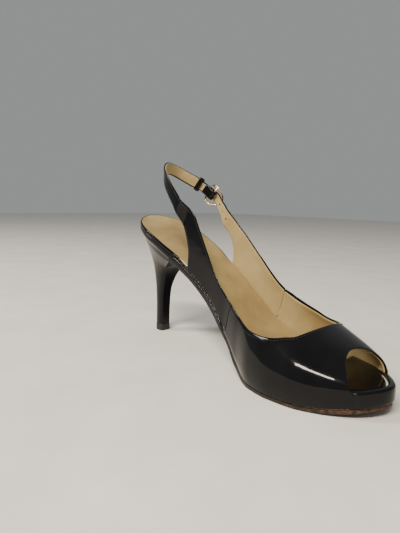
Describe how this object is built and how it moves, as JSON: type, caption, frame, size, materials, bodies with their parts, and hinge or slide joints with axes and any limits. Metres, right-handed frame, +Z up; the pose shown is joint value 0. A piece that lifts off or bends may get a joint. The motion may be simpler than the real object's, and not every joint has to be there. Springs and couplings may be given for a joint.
{
  "type": "high heel pump",
  "caption": "Peep-toe slingback pump on a slim covered high heel with a hidden platform, lined in leather, with a ring-buckled heel strap.",
  "frame": {"origin": "floor point under the middle of the shoe's bounding box", "axes": "+X from the heel to the toe, +Y to the outer (lateral) side of a left foot, +Z up"},
  "size_m": [0.2244, 0.0858, 0.1439],
  "materials": {
    "black_patent": "patent, mirror gloss",
    "tan_leather": "matte",
    "sole_leather": "satin, scuffed",
    "foam": "matte",
    "fibreboard": "matte",
    "cork": "matte",
    "heel_plastic": "satin",
    "tip_rubber": "matte",
    "steel": "satin",
    "pale_gold": "polished"
  },
  "bodies": {
    "shoe": {"vamp": "black_patent", "vamp_lining": "tan_leather", "medial_quarter": "black_patent", "lateral_quarter": "black_patent", "medial_quarter_lining": "tan_leather", "lateral_quarter_lining": "tan_leather", "seat_rand": "black_patent", "platform_front": "black_patent", "sock_lining": "tan_leather", "toe_sock": "black_patent", "insock_foam": "foam", "insole_board": "fibreboard", "backpart_board": "fibreboard", "shank": "steel", "platform_core": "cork", "outsole": "sole_leather", "shank_rivet_1": "steel", "shank_rivet_2": "steel", "heel_core": "heel_plastic", "heel_cover": "black_patent", "heel_tip": "tip_rubber", "heel_tube": "steel", "tip_pin": "steel", "heel_screw": "steel", "heel_nail_1": "steel", "heel_nail_2": "steel", "heel_nail_3": "steel", "heel_nail_4": "steel", "heel_nail_5": "steel"},
    "sling": {"back_strap": "black_patent", "back_strap_lining": "tan_leather", "front_strap": "black_patent", "front_strap_lining": "tan_leather", "chape_loop": "black_patent"},
    "ring": {"buckle_ring": "pale_gold"},
    "prong": {"buckle_prong": "pale_gold"},
    "keeper": {"strap_keeper": "black_patent"}
  },
  "joints": [
    {"name": "sling_flex", "type": "hinge", "parent": "shoe", "child": "sling", "pos_m": [-0.0419, 0, 0.09825], "axis": [0, 1, 0], "range_deg": [-3, 3], "stiffness_Nm_per_rad": 0.3},
    {"name": "ring_tilt", "type": "hinge", "parent": "sling", "child": "ring", "pos_m": [-0.06717, 0.0288, 0.11832], "axis": [-0.6373, -0.1354, -0.7586], "range_deg": [-1.2, 1.2]},
    {"name": "prong_swing", "type": "hinge", "parent": "ring", "child": "prong", "pos_m": [-0.06717, 0.0288, 0.11832], "axis": [-0.6373, -0.1354, -0.7586], "range_deg": [-3, 0]},
    {"name": "keeper_slide", "type": "slide", "parent": "sling", "child": "keeper", "axis": [0.6649, 0.5434, -0.5124], "range_m": [-0.0008, 0.0008]}
  ]
}
